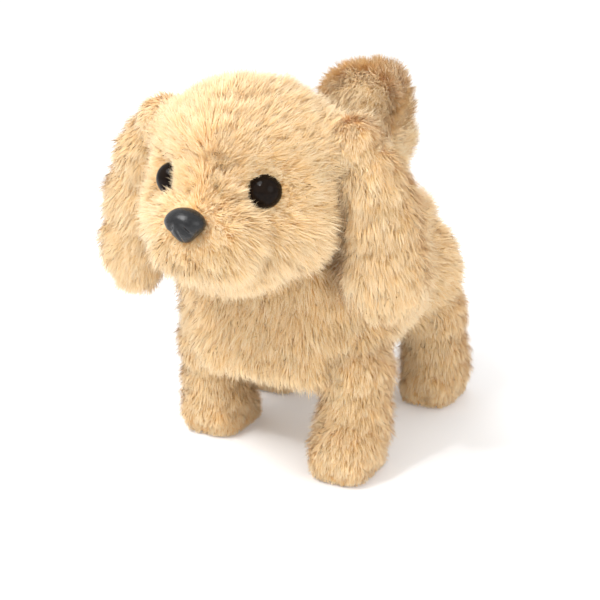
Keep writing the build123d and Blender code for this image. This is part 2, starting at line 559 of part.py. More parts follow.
# Link rods, from the front leg's pin above its hip to the rear leg's pin below its hip ------------
OPEN_PIVOT = 0.35
for side, name in ((1, "left_link_rod"), (-1, "right_link_rod")):
    turn = radians(REST_SWING) * -side
    y1, z1 = FRONT_HIP_Y - ROD_ARM * sin(turn), HIP_Z + ROD_ARM * cos(turn)
    y2, z2 = REAR_HIP_Y - ROD_ARM * sin(turn), HIP_Z - ROD_ARM * cos(turn)
    slope = degrees(atan2(z2 - z1, y2 - y1))
    reach = sqrt((y2 - y1) ** 2 + (z2 - z1) ** 2)
    x_low = min(side * ROD_LOW_X, side * ROD_HIGH_X)
    with BuildPart() as rod:
        with BuildSketch(across(x_low, y1, z1, slope)):
            with Locations((reach / 2, 0)):
                SlotCenterToCenter(reach, 6.0)
            Circle(PIN_R + RUNNING, mode=Mode.SUBTRACT)
            with Locations((reach, 0)):
                Circle(PIN_R + OPEN_PIVOT, mode=Mode.SUBTRACT)
        extrude(amount=ROD_THICK)
    save(name, rod.part)

# Tail mechanism -----------------------------------------------------------------------------------
BRACKET_LOW_Z, BRACKET_HIGH_Z = TAIL_LEVER_Z - 6.5, TAIL_LEVER_Z - 3.0
bracket = block(-7, 7, CASE_REAR_Y, TAIL_Y + 4.5, BRACKET_LOW_Z, BRACKET_HIGH_Z)
save("tail_bracket",
     cut(bracket, upright(0, TAIL_Y, BRACKET_LOW_Z - 1, BRACKET_HIGH_Z + 1, PIN_R + SEATED)))
save("tail_pin", upright(0, TAIL_Y, BRACKET_LOW_Z, TAIL_LEVER_Z + 9, PIN_R))
TAIL_CORE_R = 4.0
TAIL_CORE_HIGH_Z = 128.0
PEG_R = 1.0
tail_post = upright(0, TAIL_Y, TAIL_LEVER_Z - 2.6, TAIL_CORE_HIGH_Z, TAIL_CORE_R)
tail_post = cut(tail_post, upright(0, TAIL_Y, TAIL_LEVER_Z - 4, TAIL_LEVER_Z + 9.5, PIN_R + RUNNING))
tail_arm = cut(block(3.0, TAIL_LEVER + 3.6, TAIL_Y - 2.8, TAIL_Y + 2.8, TAIL_LEVER_Z - 1, TAIL_LEVER_Z + 1),
               block(TAIL_LEVER - 1.7, TAIL_LEVER + 2.4, TAIL_Y - PEG_R - 0.6, TAIL_Y + PEG_R + 0.6,
                     TAIL_LEVER_Z - 2, TAIL_LEVER_Z + 2))
save("tail_lever", join(tail_post, tail_arm))
turn = radians(REST_SWING)
peg_y, peg_z = REAR_HIP_Y - TAIL_ARM * sin(turn), HIP_Z + TAIL_ARM * cos(turn)
PUSH_LOW_X, PUSH_HIGH_X = CASE_HALF_X + 0.6, CASE_HALF_X + 3.0
CROSS_LOW_Y, CROSS_HIGH_Y = CASE_REAR_Y + 0.8, CASE_REAR_Y + 3.4
push_bar = block(PUSH_LOW_X, PUSH_HIGH_X, peg_y - 5, CROSS_HIGH_Y, peg_z + PIN_R + 0.8, peg_z + PIN_R + 5.0)
fork_tines = [block(PUSH_LOW_X + 0.9, PUSH_HIGH_X + 1.6, low, low + 2.0, peg_z - 2.5, peg_z + PIN_R + 5.0)
              for low in (peg_y - PIN_R - 0.5 - 2.0, peg_y + PIN_R + 0.5)]
cross_bar = block(TAIL_LEVER - 1.5, PUSH_HIGH_X, CROSS_LOW_Y, CROSS_HIGH_Y, peg_z + PIN_R + 0.8,
                  peg_z + PIN_R + 5.0)
cross_top = peg_z + PIN_R + 5.0
finger = block(TAIL_LEVER - 1.5, TAIL_LEVER + 1.5, CROSS_LOW_Y, TAIL_Y + PEG_R, cross_top - 2.2, cross_top)
peg = upright(TAIL_LEVER, TAIL_Y, cross_top - 2.0, TAIL_LEVER_Z + 1.5, PEG_R)
save("tail_push_rod", join(push_bar, *fork_tines, cross_bar, finger, peg))

# Skull, neck and face -----------------------------------------------------------------------------
HEAD_CENTRE = (0, HEAD_Y, HEAD_Z)
SNOUT_CENTRE = (0, SNOUT_Y, SNOUT_Z)
skull_outer = join(pill(HEAD_CENTRE, X_AXIS, SKULL_HALF_X, SKULL_R),
                   pill(SNOUT_CENTRE, X_AXIS, SNOUT_HALF_X, SNOUT_R))
skull_inner = join(pill(HEAD_CENTRE, X_AXIS, SKULL_HALF_X - WALL, SKULL_R - WALL),
                   pill(SNOUT_CENTRE, X_AXIS, SNOUT_HALF_X - WALL, SNOUT_R - WALL))
neck_opening = block(-14, 14, NECK_Y - 9, NECK_Y + 12, CASE_HIGH_Z - 4, NECK_Z + 7.5)
eye_out = Vector(EYE_X, EYE_Y - HEAD_Y, EYE_Z - HEAD_Z).normalized()
EYE_STEM_R, EYE_WASHER_R = 1.8, 4.0


def eye_plane(side, inward):
    """A plane across one eye's own axis, set back from the middle of the eyeball."""
    way = Vector(side * eye_out.X, eye_out.Y, eye_out.Z)
    middle = Vector(side * EYE_X, EYE_Y, EYE_Z)
    return Plane(origin=middle - way * inward, x_dir=Vector(way.Y, -way.X, 0), z_dir=way)


def along_eye(side, back, front, radius, bore=0.0):
    with BuildPart() as piece:
        with BuildSketch(eye_plane(side, back)):
            Circle(radius)
            if bore:
                Circle(bore, mode=Mode.SUBTRACT)
        extrude(amount=back - front)
    return piece.part


eye_holes = [along_eye(side, 20, 0, EYE_STEM_R + SEATED) for side in (-1, 1)]
NOSE_STEM_R = 1.8


def along_nose(y_front, y_back, radius, bore=0.0):
    with BuildPart() as piece:
        with BuildSketch(Plane(origin=(0, y_front, NOSE_Z), x_dir=X_AXIS, z_dir=Y_AXIS)):
            Circle(radius)
            if bore:
                Circle(bore, mode=Mode.SUBTRACT)
        extrude(amount=y_back - y_front)
    return piece.part


nose_hole = along_nose(NOSE_Y, SNOUT_Y, NOSE_STEM_R + SEATED)
SKULL_SCREW_X, SKULL_SCREW_RISE = 18.0, 22.0
SKULL_SCREW_SPOTS = [(x, HEAD_Z + rise) for x in (-SKULL_SCREW_X, SKULL_SCREW_X)
                     for rise in (-SKULL_SCREW_RISE, SKULL_SCREW_RISE)]
SKULL_BOSS_HALF = 7.0


def along_y(x, z, y_low, y_high, radius):
    with BuildPart() as piece:
        with BuildSketch(Plane(origin=(x, y_low, z), x_dir=X_AXIS, z_dir=Y_AXIS)):
            Circle(radius)
        extrude(amount=y_high - y_low)
    return piece.part


skull_bosses = [along_y(x, z, HEAD_Y - SKULL_BOSS_HALF, HEAD_Y + SKULL_BOSS_HALF, 2.8)
                for x, z in SKULL_SCREW_SPOTS]
skull_screw_holes = [along_y(x, z, HEAD_Y - SKULL_BOSS_HALF + 1, HEAD_Y + 40, SCREW_R + SEATED)
                     for x, z in SKULL_SCREW_SPOTS]
skull_head_room = [along_y(x, z, HEAD_Y + SKULL_BOSS_HALF, HEAD_Y + 40, SCREW_HEAD_R + 0.3)
                   for x, z in SKULL_SCREW_SPOTS]
skull = join(cut(skull_outer, skull_inner), *skull_bosses)
skull = cut(skull, neck_opening, *eye_holes, nose_hole, *skull_screw_holes, *skull_head_room)
behind_split = block(-60, 60, HEAD_Y, HEAD_Y + 80, 60, 220)
before_split = block(-60, 60, HEAD_Y - 100, HEAD_Y, 60, 220)
save("skull_front_shell", cut(skull, behind_split))
save("skull_back_shell", cut(skull, before_split))
skull_screws = [join(along_y(x, z, HEAD_Y - SKULL_BOSS_HALF + 2, HEAD_Y + SKULL_BOSS_HALF, SCREW_R),
                     along_y(x, z, HEAD_Y + SKULL_BOSS_HALF, HEAD_Y + SKULL_BOSS_HALF + 1.5, SCREW_HEAD_R))
                for x, z in SKULL_SCREW_SPOTS]
save("skull_screws", Compound(children=skull_screws))

STEM_HALF_X = LUG_LOW_X - GAP
stem = join(block(-STEM_HALF_X, STEM_HALF_X, NECK_Y - 4, NECK_Y + 4, NECK_Z - 2, NECK_Z + 8),
            rod_along_x(-STEM_HALF_X, STEM_HALF_X, NECK_Y, NECK_Z - 0.4, 3.4))
neck_plate = block(-24, 24, NECK_Y - 20, NECK_Y + 9, NECK_Z + 7.8, NECK_Z + 10.8)
neck_plate = neck_plate & pill(HEAD_CENTRE, X_AXIS, SKULL_HALF_X - WALL - 0.1, SKULL_R - WALL - 0.1)
rocker_back = join(block(-STEM_HALF_X, STEM_HALF_X, NECK_Y + 3, NECK_Y + 7, NECK_Z - 1.0, NECK_Z + 2.0),
                   block(ROCKER_LOW_X, STEM_HALF_X, NECK_Y + 5.5, CRANK_Y + 2.5, NECK_Z - 1.0,
                         NECK_Z + 2.0))
rocker_leg = block(ROCKER_LOW_X, ROCKER_HIGH_X, CRANK_Y - 2.0, CRANK_Y + 2.5,
                   CRANK_Z + CAM_R + CAM_OFFSET + 0.8, NECK_Z + 2.0)
stem_all = cut(join(stem, neck_plate, rocker_back, rocker_leg),
               rod_along_x(-20, 20, NECK_Y, NECK_Z, PIN_R + RUNNING))
save("neck_stem", stem_all)

for side, name in ((1, "left_eye"), (-1, "right_eye")):
    with BuildPart() as dome:
        with BuildSketch(Plane(origin=eye_plane(side, 0).origin, x_dir=eye_plane(side, 0).z_dir,
                               z_dir=eye_plane(side, 0).x_dir)):
            Circle(EYE_R)
            Rectangle(2.2 * EYE_R, 1.1 * EYE_R, align=(Align.CENTER, Align.MAX), mode=Mode.SUBTRACT)
            with Locations((-3.0, 0)):
                Rectangle(EYE_R, 2.2 * EYE_R, align=(Align.MAX, Align.CENTER), mode=Mode.SUBTRACT)
        revolve(axis=Axis(eye_plane(side, 0).origin, eye_plane(side, 0).z_dir))
    save(name, join(dome.part, along_eye(side, 14.6, 3.0, EYE_STEM_R)))
washers = [along_eye(side, 14.0, 12.8, EYE_WASHER_R, EYE_STEM_R + SEATED) for side in (-1, 1)]

nose_dome = cut(pill((0, NOSE_Y + 1.0, NOSE_Z), X_AXIS, NOSE_R, 7.0),
                block(-20, 20, NOSE_Y + 2.5, NOSE_Y + 20, 110, 150))
save("nose", join(nose_dome, along_nose(NOSE_Y + 2.5, NOSE_Y + 19.0, NOSE_STEM_R)))
washers.append(along_nose(NOSE_Y + 16.9, NOSE_Y + 18.1, 4.0, NOSE_STEM_R + SEATED))
save("face_washers", Compound(children=washers))

# Plush covers, as plain closed solids -------------------------------------------------------------
PLUSH_GAP = 0.6
NOD_ROOM = 3.5
HEAD_TO_BODY = HEAD_PLUSH_R + NOD_ROOM
head_plush = join(pill(HEAD_CENTRE, X_AXIS, HEAD_PLUSH_HALF_X, HEAD_PLUSH_R),
                  pill(MUZZLE_CENTRE, X_AXIS, MUZZLE_HALF_X, MUZZLE_R))
skull_room = join(pill(HEAD_CENTRE, X_AXIS, SKULL_HALF_X + PLUSH_GAP, SKULL_R + PLUSH_GAP),
                  pill(SNOUT_CENTRE, X_AXIS, SNOUT_HALF_X + PLUSH_GAP, SNOUT_R + PLUSH_GAP))
eye_rooms = [along_eye(side, 14.0, -20.0, EYE_R + 0.4) for side in (-1, 1)]
nose_room = along_nose(NOSE_Y - 20, NOSE_Y + 20, NOSE_R + 0.4)
neck_room = join(block(-17, 17, NECK_Y - 12, NECK_Y + 22, 80, NECK_Z + 12),
                 block(-CASE_HALF_X - 3, CASE_HALF_X + 3, CASE_FRONT_Y - 3, 20, 80, CASE_HIGH_Z + NOD_ROOM))
head_plush = cut(head_plush, skull_room, *eye_rooms, nose_room, neck_room)
save("head_plush", head_plush)

body_outer = join(pill(BODY_PLUSH_CENTRE, Y_AXIS, BODY_PLUSH_HALF_Y, BODY_PLUSH_R),
                  pill(CHEST_PLUSH_CENTRE, X_AXIS, CHEST_PLUSH_R + 1.5, CHEST_PLUSH_R))
case_room = block(-CASE_HALF_X - 5.5, CASE_HALF_X + 5.5, CASE_FRONT_Y - 0.5, CASE_REAR_Y + 0.5,
                  CASE_LOW_Z - 0.5, CASE_HIGH_Z + 0.5)
rod_room = block(-ROD_HIGH_X - 1.2, ROD_HIGH_X + 1.2, FRONT_HIP_Y - 15, REAR_HIP_Y + 12, HIP_Z - 14,
                 CRANK_Z + 12)
tail_room = block(-9, CASE_HALF_X + 3.8, CASE_REAR_Y, CASE_REAR_Y + 9.5, TAIL_LEVER_Z - 14,
                  TAIL_LEVER_Z + 4)
tail_hub_room = block(-9, 18, CASE_REAR_Y, TAIL_Y + 9.5, TAIL_LEVER_Z - 14, TAIL_LEVER_Z + 4)
tail_hole = upright(0, TAIL_Y, TAIL_LEVER_Z, 150, TAIL_CORE_R + 1.5)
belly_opening = block(-BAY_HALF_X - 4, BAY_HALF_X + 4, SWITCH_Y - 5, DOOR_SCREW_Y + 6, 20, CASE_LOW_Z)
neck_top_room = block(-17, 17, NECK_Y - 10, NECK_Y + 24, CASE_HIGH_Z - 2, 150)
head_room = pill(HEAD_CENTRE, X_AXIS, HEAD_PLUSH_HALF_X + NOD_ROOM, HEAD_TO_BODY)
muzzle_room = pill(MUZZLE_CENTRE, X_AXIS, MUZZLE_HALF_X + NOD_ROOM,
                   MUZZLE_R + NOD_ROOM + 1.0)
leg_rooms = []
for side in (-1, 1):
    for hip_y in (FRONT_HIP_Y, REAR_HIP_Y):
        with BuildPart() as leg_room:
            with BuildSketch(across(side * 20.0, hip_y, 0)):
                with BuildLine():
                    Polyline((-25, SLEEVE_HIGH_Z + 8), (25, SLEEVE_HIGH_Z + 8), (35, 20), (-35, 20),
                             close=True)
                make_face()
            extrude(amount=side * 60)
        leg_rooms.append(leg_room.part)
body_plush = cut(body_outer, case_room, rod_room, tail_room, tail_hub_room, tail_hole, belly_opening,
                 neck_top_room, head_room, muzzle_room, *leg_rooms)
body_solids = body_plush.solids().sort_by(SortBy.VOLUME)
save("body_plush", Part(body_solids[-1].wrapped))

EAR_HALF_WIDTH, EAR_HALF_LENGTH, EAR_THICK = 20.0, 50.0, 15.0
for side, name in ((1, "left_ear"), (-1, "right_ear")):
    ear_plane = Plane(origin=(side * 61.0, HEAD_Y + 4.0, EAR_ROOT_Z - 46.0),
                      x_dir=(cos(radians(20)), side * sin(radians(20)), 0),
                      z_dir=(side * sin(radians(20)), -cos(radians(20)), 0))
    with BuildPart() as ear:
        with BuildSketch(ear_plane):
            Ellipse(EAR_HALF_WIDTH, EAR_HALF_LENGTH)
        extrude(amount=EAR_THICK / 2, both=True)
        fillet(ear.edges(), radius=4.0)
    skull_side = pill(HEAD_CENTRE, X_AXIS, HEAD_PLUSH_HALF_X + 1.0, HEAD_PLUSH_R + 1.0)
    above_root = block(-100, 100, -100, 50, EAR_ROOT_Z, 250)
    body_side = pill(BODY_PLUSH_CENTRE, Y_AXIS, BODY_PLUSH_HALF_Y + 1.0, BODY_PLUSH_R + 1.0)
    chest_side = pill(CHEST_PLUSH_CENTRE, X_AXIS, CHEST_PLUSH_R + 2.5, CHEST_PLUSH_R + 1.0)
    whole_ear = cut(ear.part, skull_side, above_root, body_side, chest_side)
    save(name, Part(whole_ear.solids().sort_by(SortBy.VOLUME)[-1].wrapped))

tail_plume = join(pill(TAIL_CURL_CENTRE, X_AXIS, TAIL_CURL_R, TAIL_CURL_R),
                  pill(TAIL_BACK_CENTRE, Z_AXIS, TAIL_CURL_R, TAIL_BACK_R),
                  upright(0, TAIL_Y, 114.0, 130.0, 10.0))
tail_axis = Axis((0, TAIL_Y, 0), Z_AXIS)
rump = pill(BODY_PLUSH_CENTRE, Y_AXIS, BODY_PLUSH_HALF_Y + 1.0, BODY_PLUSH_R + 1.0)
rump_sweep = [rump.rotate(tail_axis, angle) for angle in (-24, -12, 0, 12, 24)]
tail_plume = cut(tail_plume, upright(0, TAIL_Y, 100.0, TAIL_CORE_HIGH_Z + 0.3, TAIL_CORE_R + 0.2),
                 *rump_sweep)
save("tail_plush", tail_plume)
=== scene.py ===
# %% [markdown]
# # A walking plush puppy
#
# The puppy is a battery toy: a plastic chassis and a plastic skull inside, a stuffed cover of golden pile
# fabric outside, two glossy safety eyes and a glossy nose. The CAD model holds everything that moves. This
# lesson makes what is seen: the stuffed covers, the pile that grows on them, the nose and every finish.

# %% Load the fixed frame
import bpy
import json
import math
import numpy as np
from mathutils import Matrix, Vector
from mathutils.kdtree import KDTree


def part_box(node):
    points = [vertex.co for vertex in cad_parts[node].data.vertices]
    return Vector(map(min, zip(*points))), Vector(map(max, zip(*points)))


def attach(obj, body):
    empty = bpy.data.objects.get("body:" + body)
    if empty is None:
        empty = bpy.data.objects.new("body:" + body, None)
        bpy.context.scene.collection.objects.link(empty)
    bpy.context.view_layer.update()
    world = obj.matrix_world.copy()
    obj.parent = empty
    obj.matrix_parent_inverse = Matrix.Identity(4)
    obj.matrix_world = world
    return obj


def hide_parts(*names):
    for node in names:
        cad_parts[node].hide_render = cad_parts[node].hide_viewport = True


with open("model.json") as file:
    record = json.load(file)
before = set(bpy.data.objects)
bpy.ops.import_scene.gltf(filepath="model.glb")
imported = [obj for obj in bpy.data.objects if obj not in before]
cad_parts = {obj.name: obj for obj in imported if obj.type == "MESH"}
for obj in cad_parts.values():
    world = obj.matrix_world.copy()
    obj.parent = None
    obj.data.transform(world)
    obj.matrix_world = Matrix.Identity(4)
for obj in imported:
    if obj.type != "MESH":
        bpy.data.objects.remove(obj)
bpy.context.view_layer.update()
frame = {"nodes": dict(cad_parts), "record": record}
MM = 0.001


def deselect():
    bpy.ops.object.select_all(action="DESELECT")


deselect()


def place(x, y, z):
    """Millimetres to a point in metres."""
    return Vector((x, y, z)) * MM


def distance_to(points, spot):
    return np.linalg.norm(points - np.array(spot), axis=1)


# %% [markdown]
# ## Floor, light and camera
#
# The puppy stands in a white studio. A plain pale floor runs out of sight, and the sky is white. As the
# camera sees it, a large soft light hangs above on the left, a weaker one fills from the right, and a small
# one puts a glint in the eyes. The camera looks down a little on the puppy's front and left side.

# %% Studio
TARGET = place(-4.9, 4.6, 66.3)
AZIMUTH, ELEVATION, DISTANCE = 28, 19, 0.700
LENS = 86.0


def look_from(azimuth, elevation, distance):
    side, up = math.radians(azimuth), math.radians(elevation)
    return TARGET + distance * Vector((math.sin(side) * math.cos(up), -math.cos(side) * math.cos(up),
                                       math.sin(up)))


def aim(obj, target):
    obj.rotation_euler = (target - obj.location).to_track_quat("-Z", "Y").to_euler()


bpy.ops.object.camera_add(location=look_from(AZIMUTH, ELEVATION, DISTANCE))
camera = bpy.context.object
camera.data.lens = LENS
aim(camera, TARGET)
bpy.context.scene.camera = camera
bpy.context.scene.view_settings.view_transform = "Standard"


def soft_light(name, azimuth, elevation, distance, size, watts):
    """A round lamp that faces the puppy, with its distance and size in metres."""
    bpy.ops.object.light_add(type="AREA", location=look_from(azimuth, elevation, distance))
    lamp = bpy.context.object
    lamp.name = name
    lamp.data.shape = "DISK"
    lamp.data.size = size
    lamp.data.energy = watts
    aim(lamp, TARGET)


soft_light("key_light", -30, 58, 1.5, 0.7, 12)
soft_light("fill_light", 70, 25, 1.8, 1.2, 7)
soft_light("catch_light", -12, 48, 1.2, 0.10, 3.0)

sky = bpy.data.worlds.new("studio_sky")
bpy.context.scene.world = sky
sky.use_nodes = True
sky.node_tree.nodes["Background"].inputs["Color"].default_value = (1, 1, 1, 1)
sky.node_tree.nodes["Background"].inputs["Strength"].default_value = 0.94

bpy.ops.mesh.primitive_plane_add(size=30, location=(0, 0, 0))
floor = bpy.context.object
floor.name = "studio_floor"


# %% [markdown]
# ## A kit for finishes
#
# Every finish is a small tree of nodes round one Principled shader. Colour that varies is worked out by
# noise, and numbers that are the same all over are set on the shader itself.

# %% Finish helpers
class Finish:
    """One material, with short ways to add the nodes it needs."""

    def __init__(self, name, roughness=0.5, specular=0.5, metallic=0.0, coat=0.0, coat_roughness=0.05,
                 sheen=0.0):
        self.material = bpy.data.materials.new(name)
        self.material.use_nodes = True
        self.nodes = self.material.node_tree.nodes
        self.links = self.material.node_tree.links
        self.shader = self.nodes["Principled BSDF"]
        self.set(self.shader, {"Roughness": roughness, "Specular IOR Level": specular, "Metallic": metallic,
                               "Coat Weight": coat, "Coat Roughness": coat_roughness, "Sheen Weight": sheen,
                               "Sheen Roughness": 0.5})

    def set(self, node, values):
        for name, value in values.items():
            node.inputs[name].default_value = value
        return node

    def add(self, kind, **settings):
        node = self.nodes.new(kind)
        for name, value in settings.items():
            setattr(node, name, value)
        return node

    def link(self, source, target):
        self.links.new(source, target)

    def noise(self, scale, detail=4.0):
        """Noise over the part's own space, scale in features for each metre."""
        where = self.add("ShaderNodeTexCoord")
        cloud = self.add("ShaderNodeTexNoise")
        self.set(cloud, {"Scale": scale, "Detail": detail, "Roughness": 0.55})
        self.link(where.outputs["Object"], cloud.inputs["Vector"])
        return cloud.outputs["Fac"]

    def ramp(self, source, stops):
        node = self.add("ShaderNodeValToRGB")
        while len(node.color_ramp.elements) < len(stops):
            node.color_ramp.elements.new(0.5)
        for element, (position, colour) in zip(node.color_ramp.elements, stops):
            element.position = position
            element.color = (*colour, 1)
        self.link(source, node.inputs["Fac"])
        return node.outputs["Color"]

    def colour(self, source):
        self.link(source, self.shader.inputs["Base Color"])

    def bump(self, source, strength, depth):
        node = self.add("ShaderNodeBump")
        self.set(node, {"Strength": strength, "Distance": depth})
        self.link(source, node.inputs["Height"])
        self.link(node.outputs["Normal"], self.shader.inputs["Normal"])


def paint(obj, finish):
    obj.data.materials.clear()
    obj.data.materials.append(finish.material)


def shade(name, stops, scale=300, bump=0.0, **settings):
    """A finish whose colour wanders between a few near shades, with a fine grain."""
    finish = Finish(name, **settings)
    finish.colour(finish.ramp(finish.noise(scale), stops))
    if bump:
        finish.bump(finish.noise(scale * 4, 3), bump, 0.0002)
    return finish


FLOOR_GLOW = 0.12       # lifts the floor's shadow to the pale grey of a white studio
studio = shade("studio_white", [(0.0, (0.93, 0.93, 0.935)), (1.0, (0.95, 0.95, 0.955))], 6,
               roughness=0.9, specular=0.1)
studio.set(studio.shader, {"Emission Color": (1, 1, 1, 1), "Emission Strength": FLOOR_GLOW})
paint(floor, studio)

# %% [markdown]
# ## The pile's colour
#
# Each hair has its own place on a small map: across the map the hairs run from honey to pale cream, and up
# the map they run from the brown-gold root to the pale, bleached tip. That rise is partly the pile's own
# colour and partly painted light: the root is made a deeper orange as painted shade down in the pile, and
# the tip is made whiter as a painted highlight. The same map serves every patch of pile.

# %% Pile finish
HAIR_MAP = "OFBake"
pile = Finish("golden_pile", roughness=0.72, specular=0.18, sheen=0.25)
hair_map = pile.add("ShaderNodeUVMap", uv_map=HAIR_MAP)
split = pile.add("ShaderNodeSeparateXYZ")
pile.link(hair_map.outputs["UV"], split.inputs["Vector"])
# Up the map: the deep orange near the root is partly painted shade down in the pile, and the near-white tip
# is partly a painted highlight
honey = pile.ramp(split.outputs["Y"], [
    (0.0, (0.79, 0.34, 0.085)), (0.4, (0.89, 0.53, 0.20)), (1.0, (0.94, 0.68, 0.36))])
cream = pile.ramp(split.outputs["Y"], [
    (0.0, (0.87, 0.47, 0.15)), (0.4, (0.96, 0.71, 0.36)), (1.0, (0.99, 0.90, 0.72))])
mix = pile.add("ShaderNodeMix", data_type="RGBA")
pile.link(split.outputs["X"], mix.inputs["Factor"])
pile.link(honey, mix.inputs["A"])
pile.link(cream, mix.inputs["B"])
pile.colour([socket for socket in mix.outputs if socket.type == "RGBA"][0])

# The backing is the fabric the pile grows from; its orange-tan is kept darker than the hairs as painted shade
# at the bottom of the pile
backing = Finish("pile_backing", roughness=0.9, specular=0.1, sheen=0.2)
backing.colour(backing.ramp(backing.noise(900, 3), [(0.3, (0.80, 0.44, 0.17)), (0.7, (0.88, 0.56, 0.26))]))
backing.bump(backing.noise(1500, 2), 0.5, 0.0006)


# %% [markdown]
# ## Stuffed covers
#
# A soft toy's cover is sewn from flat panels and pulled round by its stuffing, so it is made of full, soft
# bulges that run into one another. Each cover starts as a few balls, each squashed to its own length, width
# and height. They are joined, melted into one skin by a voxel remesh and relaxed, which is what the
# stuffing does.

# %% Stuffed cover helper
def ball(centre, radii, turn=(0, 0, 0)):
    bpy.ops.mesh.primitive_uv_sphere_add(segments=32, ring_count=16, radius=1, location=place(*centre),
                                         rotation=[math.radians(a) for a in turn])
    obj = bpy.context.object
    obj.scale = Vector(radii) * MM
    bpy.ops.object.transform_apply(location=True, rotation=True, scale=True)
    return obj


def pad(centre, sides, rounding):
    """A cushion: a box with every edge rounded."""
    bpy.ops.mesh.primitive_cube_add(size=1, location=place(*centre))
    obj = bpy.context.object
    obj.scale = Vector(sides) * MM
    bpy.ops.object.transform_apply(location=True, rotation=True, scale=True)
    bevel = obj.modifiers.new("rounding", "BEVEL")
    bevel.width, bevel.segments = rounding * MM, 5
    bpy.ops.object.modifier_apply(modifier="rounding")
    return obj


def melt(obj, voxel):
    """Turns the active object into one closed skin. The voxel's size is in millimetres."""
    remesh = obj.modifiers.new("melt", "REMESH")
    remesh.mode = "VOXEL"
    remesh.voxel_size = voxel * MM
    bpy.ops.object.modifier_apply(modifier="melt")


def soften(obj, factor, rounds):
    """Relaxes the active object's skin and shades it smooth."""
    smooth = obj.modifiers.new("relax", "SMOOTH")
    smooth.factor = factor
    smooth.iterations = rounds
    bpy.ops.object.modifier_apply(modifier="relax")
    bpy.ops.object.shade_smooth()
    deselect()


def stuffed(name, balls, voxel=2.0, relax=6, pads=()):
    """Balls and pads melted into one skin."""
    deselect()
    pieces = [ball(*b) for b in balls] + [pad(*p) for p in pads]
    for piece in pieces:
        piece.select_set(True)
    bpy.context.view_layer.objects.active = pieces[0]
    if len(pieces) > 1:
        bpy.ops.object.join()
    skin = bpy.context.object
    skin.name = name
    melt(skin, voxel)
    soften(skin, 0.6, relax)
    return skin


def cover(skin, body, node):
    """Dresses a finished skin as the cover that stands for a plain CAD node."""
    paint(skin, backing)
    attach(skin, body)
    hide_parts(node)


def coordinates(mesh):
    points = np.empty(len(mesh.vertices) * 3)
    mesh.vertices.foreach_get("co", points)
    return points.reshape(-1, 3)


def move_points(obj, points):
    obj.data.vertices.foreach_set("co", np.ascontiguousarray(points).ravel())
    obj.data.update()


def smoothstep(low, high, value):
    t = np.clip((value - low) / (high - low), 0, 1)
    return t * t * (3 - 2 * t)


# %% [markdown]
# ## Growing the pile
#
# Pile fabric is hair: fine, combed one way by the machine, and gathered into small locks by handling. A
# hair is a thin leaf of three triangles that bends once and ends in a point. Roots are scattered over a
# skin by area. A comb field says which way the hairs lean, and each lock has its own lean, and pulls the
# tips of its hairs together.

# %% Pile helper
def skin_samples(skin, count, rng, keep=None):
    """Places and outward directions scattered evenly over a skin."""
    mesh = skin.data
    mesh.calc_loop_triangles()
    corners = np.empty(len(mesh.loop_triangles) * 3, dtype=np.int64)
    mesh.loop_triangles.foreach_get("vertices", corners)
    corners = corners.reshape(-1, 3)
    points = coordinates(mesh)
    normals = np.empty(len(mesh.vertices) * 3)
    mesh.vertices.foreach_get("normal", normals)
    normals = normals.reshape(-1, 3)
    a, b, c = (points[corners[:, k]] for k in range(3))
    area = np.linalg.norm(np.cross(b - a, c - a), axis=1) / 2
    if keep is not None:
        area = area * keep((a + b + c) / 3)
    chosen = rng.choice(len(area), size=count, p=area / area.sum())
    u, v = rng.random(count), rng.random(count)
    fold = u + v > 1
    u[fold], v[fold] = 1 - u[fold], 1 - v[fold]
    weights = np.stack([1 - u - v, u, v], axis=1)[:, :, None]
    roots = (points[corners[chosen]] * weights).sum(axis=1)
    outward = (normals[corners[chosen]] * weights).sum(axis=1)
    return roots, unit(outward), area.sum()


def unit(vectors):
    return vectors / np.maximum(np.linalg.norm(vectors, axis=-1, keepdims=True), 1e-9)


MAP_EDGE = 0.03                     # a hair's middle line keeps this far inside the colour map
SHORTEST = 0.8 * MM                 # the least that a hair is grown to
ELBOW_LIFT, TIP_LIFT = 0.6 * MM, 0.8 * MM       # a bend and a tip stand at least this far off the skin


